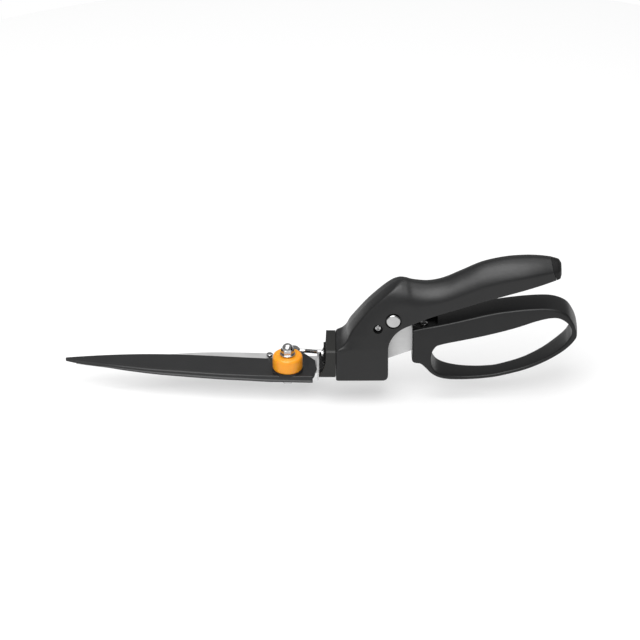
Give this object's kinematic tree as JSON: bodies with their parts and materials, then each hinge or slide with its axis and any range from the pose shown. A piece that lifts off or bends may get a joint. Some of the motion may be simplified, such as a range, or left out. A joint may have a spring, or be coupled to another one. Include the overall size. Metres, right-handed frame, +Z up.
{
  "type": "one-hand grass shears",
  "caption": "One-hand grass shears: a closed finger loop drives a blade on a head that turns about the handle, with a lock knob.",
  "frame": {"origin": "centre of the flat sole under the front of the handle", "axes": "+X back along the grip, -X to the blade tips, +Z up, -Y the user's left"},
  "size_m": [0.3503, 0.0418, 0.0978],
  "materials": {
    "handle_plastic": "fine moulded texture, black",
    "loop_plastic": "fine moulded texture, black",
    "collar_plastic": "satin moulded black",
    "cap_plastic": "matte black",
    "knob_plastic": "satin orange",
    "nylon": "dark nylon",
    "blade_coating": "black non-stick coating",
    "blade_steel": "ground steel",
    "arm_metal": "satin light grey",
    "plated_steel": "bright plated",
    "spring_steel": "spring steel"
  },
  "bodies": {
    "handle": {"housing_left": "handle_plastic", "housing_right": "handle_plastic", "grip_end_cap": "cap_plastic", "lever_pin": "plated_steel", "lever_pin_cap": "plated_steel", "housing_screws": "plated_steel", "rod_guide": "nylon", "detent_ball": "plated_steel", "detent_spring": "spring_steel", "return_spring": "spring_steel"},
    "lever": {"lever_arm": "arm_metal", "pivot_bush": "nylon", "arm_pin": "plated_steel", "spring_cup": "nylon", "loop_screw": "plated_steel", "loop_handle": "loop_plastic"},
    "rod": {"pull_rod": "plated_steel", "rod_clevis": "nylon"},
    "head": {"head_cover": "collar_plastic", "swivel_hub": "nylon", "hub_ring": "spring_steel", "tang_screws": "plated_steel", "fixed_blade": "blade_steel", "stop_stud": "plated_steel", "pivot_bolt": "plated_steel", "wave_washer": "spring_steel", "pivot_sleeve": "plated_steel", "top_washer": "plated_steel", "dome_nut": "plated_steel"},
    "link": {"swivel_yoke": "nylon", "drive_link": "plated_steel"},
    "blade": {"moving_blade": "blade_coating", "crank_pin": "plated_steel", "crank_clip": "spring_steel"},
    "lock": {"lock_ring": "cap_plastic", "lock_knob": "knob_plastic"}
  },
  "joints": [
    {"name": "lever_hinge", "type": "hinge", "parent": "handle", "child": "lever", "pos_m": [0.0216, 0, 0.0459], "axis": [0, 1, 0], "range_deg": [0, 15], "deforming": ["return_spring"]},
    {"name": "rod_slide", "type": "slide", "parent": "handle", "child": "rod", "axis": [1, 0, 0], "range_m": [-0.0084, 0]},
    {"name": "head_turn", "type": "hinge", "parent": "handle", "child": "head", "pos_m": [0, 0, 0.0129], "axis": [1, 0, 0], "continuous": true},
    {"name": "link_slide", "type": "slide", "parent": "head", "child": "link", "axis": [1, 0, 0], "range_m": [-0.0084, 0]},
    {"name": "blade_hinge", "type": "hinge", "parent": "head", "child": "blade", "pos_m": [-0.0506, 0, 0], "axis": [0, 0, 1], "range_deg": [0, 28.1]},
    {"name": "lock_turn", "type": "hinge", "parent": "head", "child": "lock", "pos_m": [-0.0506, 0, 0], "axis": [0, 0, 1], "range_deg": [0, 90]}
  ],
  "couplings": [
    {"joint": "rod_slide", "follows": "lever_hinge", "m_per_rad": -0.03125},
    {"joint": "link_slide", "follows": "lever_hinge", "m_per_rad": -0.03125},
    {"joint": "blade_hinge", "follows": "lever_hinge", "ratio": 1.8667}
  ]
}
